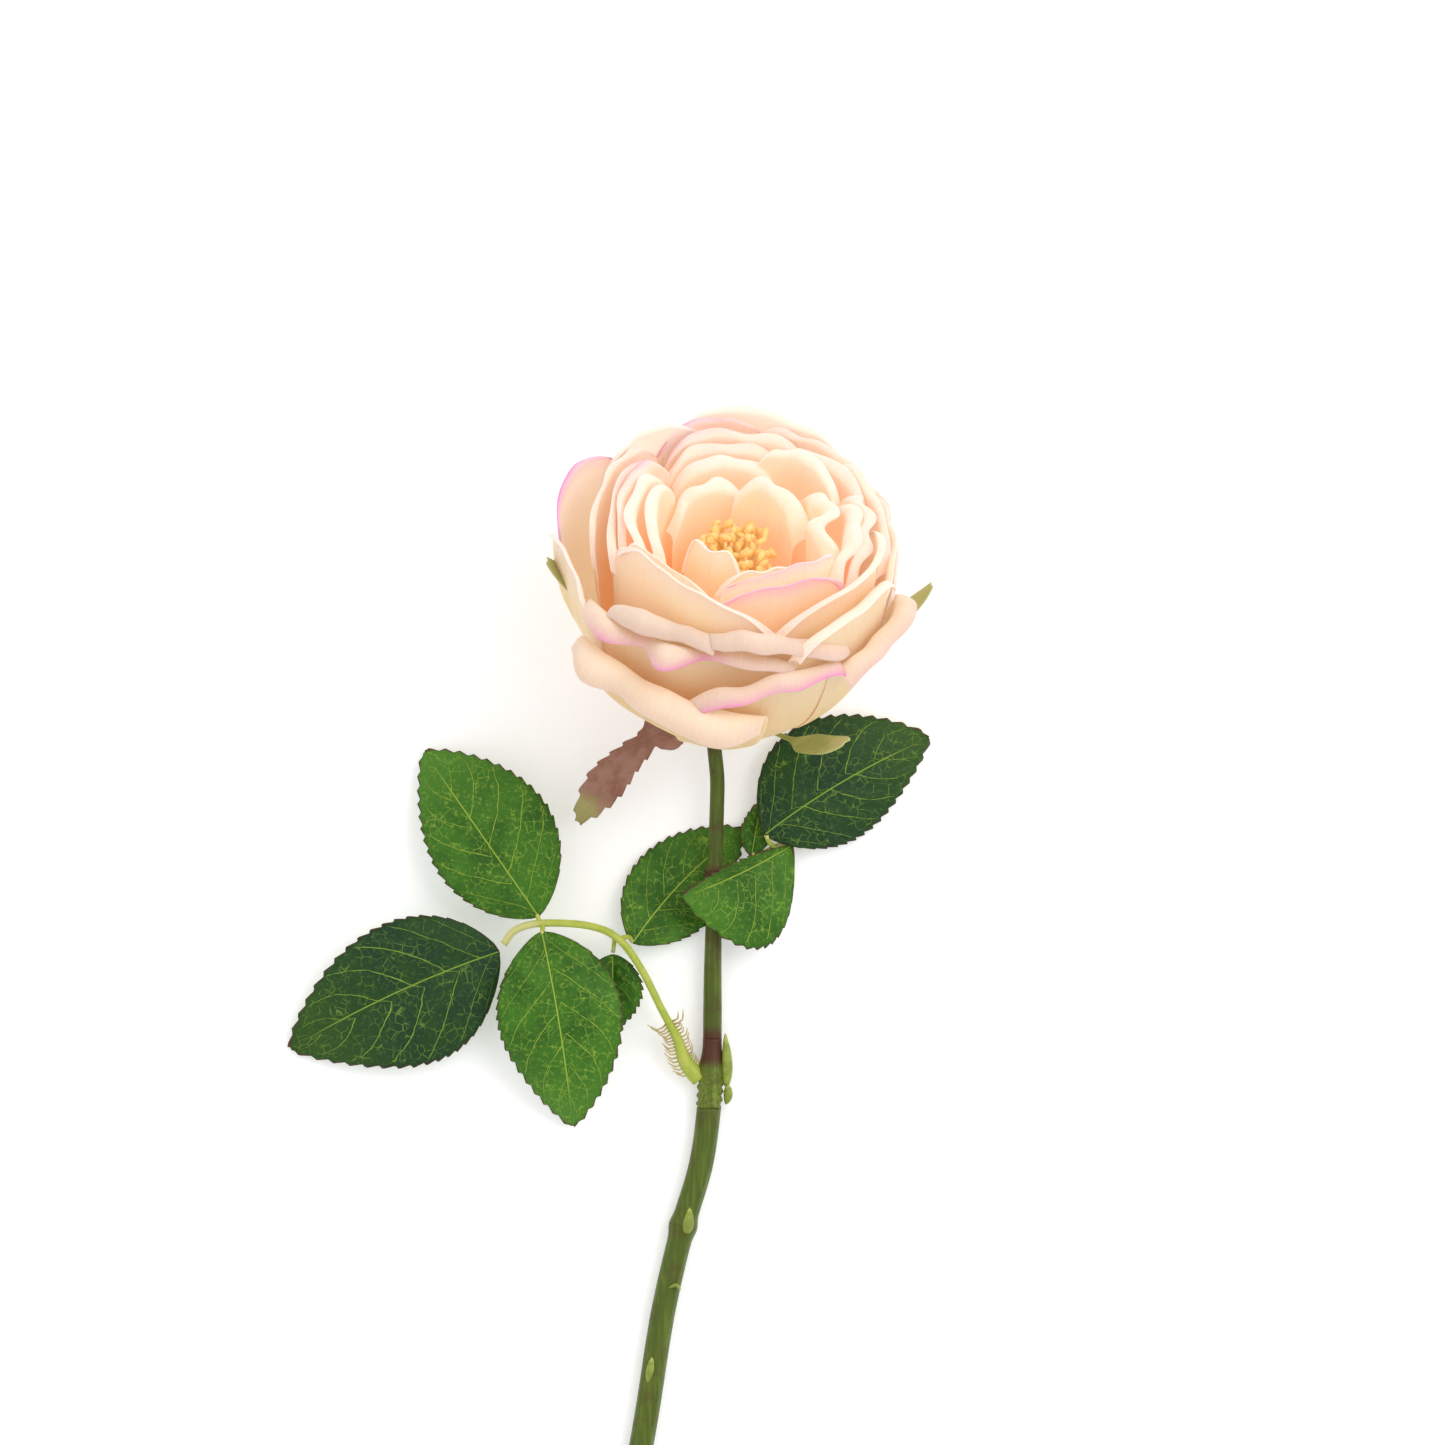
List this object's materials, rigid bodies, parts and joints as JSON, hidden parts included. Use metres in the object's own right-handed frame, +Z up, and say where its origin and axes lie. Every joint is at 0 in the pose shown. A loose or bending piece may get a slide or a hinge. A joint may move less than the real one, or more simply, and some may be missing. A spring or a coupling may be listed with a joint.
{
  "type": "cut rose",
  "caption": "Cut garden rose lying down: a large cupped bloom of nested petals with stamens, on a bent neck and jointed stem with two sprays of leaflets.",
  "frame": {"origin": "centre of the bounding box at the surface that the rose lies on", "axes": "+Z up from that surface, +Y along the stem towards the bloom, +X to the right when seen from above with the bloom at the top"},
  "size_m": [0.1846, 0.3518, 0.1016],
  "materials": {
    "guard_petal": "soft satin",
    "petal": "soft satin",
    "heart_petal": "soft satin",
    "stamen": "matt",
    "sepal": "matt",
    "dry_sepal": "matt",
    "stem": "satin",
    "sleeve": "satin",
    "petiole": "satin",
    "leaf": "satin",
    "dark_leaf": "satin"
  },
  "bodies": {
    "root": {"guard_petal_1": "guard_petal", "guard_petal_2": "guard_petal", "guard_petal_3": "guard_petal", "guard_petal_4": "guard_petal", "guard_petal_5": "guard_petal", "guard_petal_6": "guard_petal", "guard_petal_7": "guard_petal", "guard_petal_8": "guard_petal", "second_petal_1": "petal", "second_petal_2": "petal", "second_petal_3": "petal", "second_petal_4": "petal", "second_petal_5": "petal", "second_petal_6": "petal", "second_petal_7": "petal", "second_petal_8": "petal", "third_petal_1": "petal", "third_petal_2": "petal", "third_petal_3": "petal", "third_petal_4": "petal", "third_petal_5": "petal", "fourth_petal_1": "petal", "fourth_petal_2": "petal", "fourth_petal_3": "petal", "fourth_petal_4": "petal", "fourth_petal_5": "petal", "fifth_petal_1": "heart_petal", "fifth_petal_2": "heart_petal", "fifth_petal_3": "heart_petal", "fifth_petal_4": "heart_petal", "fifth_petal_5": "heart_petal", "fifth_petal_6": "heart_petal", "heart_petal_1": "heart_petal", "heart_petal_2": "heart_petal", "heart_petal_3": "heart_petal", "heart_petal_4": "heart_petal", "heart_petal_5": "heart_petal", "heart_petal_6": "heart_petal", "receptacle": "sepal", "sepal_1": "sepal", "sepal_2": "sepal", "sepal_3": "sepal", "sepal_4": "sepal", "stamens": "stamen", "stem_upper": "stem", "stem_sleeve": "sleeve", "stem_middle": "stem", "stem_lower": "stem", "sepal_5": "dry_sepal", "left_petiole": "petiole", "left_leaflet_upper": "leaf", "left_leaflet_end": "dark_leaf", "left_leaflet_lower": "leaf", "left_leaflet_small": "leaf", "left_leaflet_right": "leaf", "right_rachis": "petiole", "right_leaflet_big": "dark_leaf", "right_leaflet_front": "leaf", "right_leaflet_small": "leaf"}
  },
  "joints": []
}
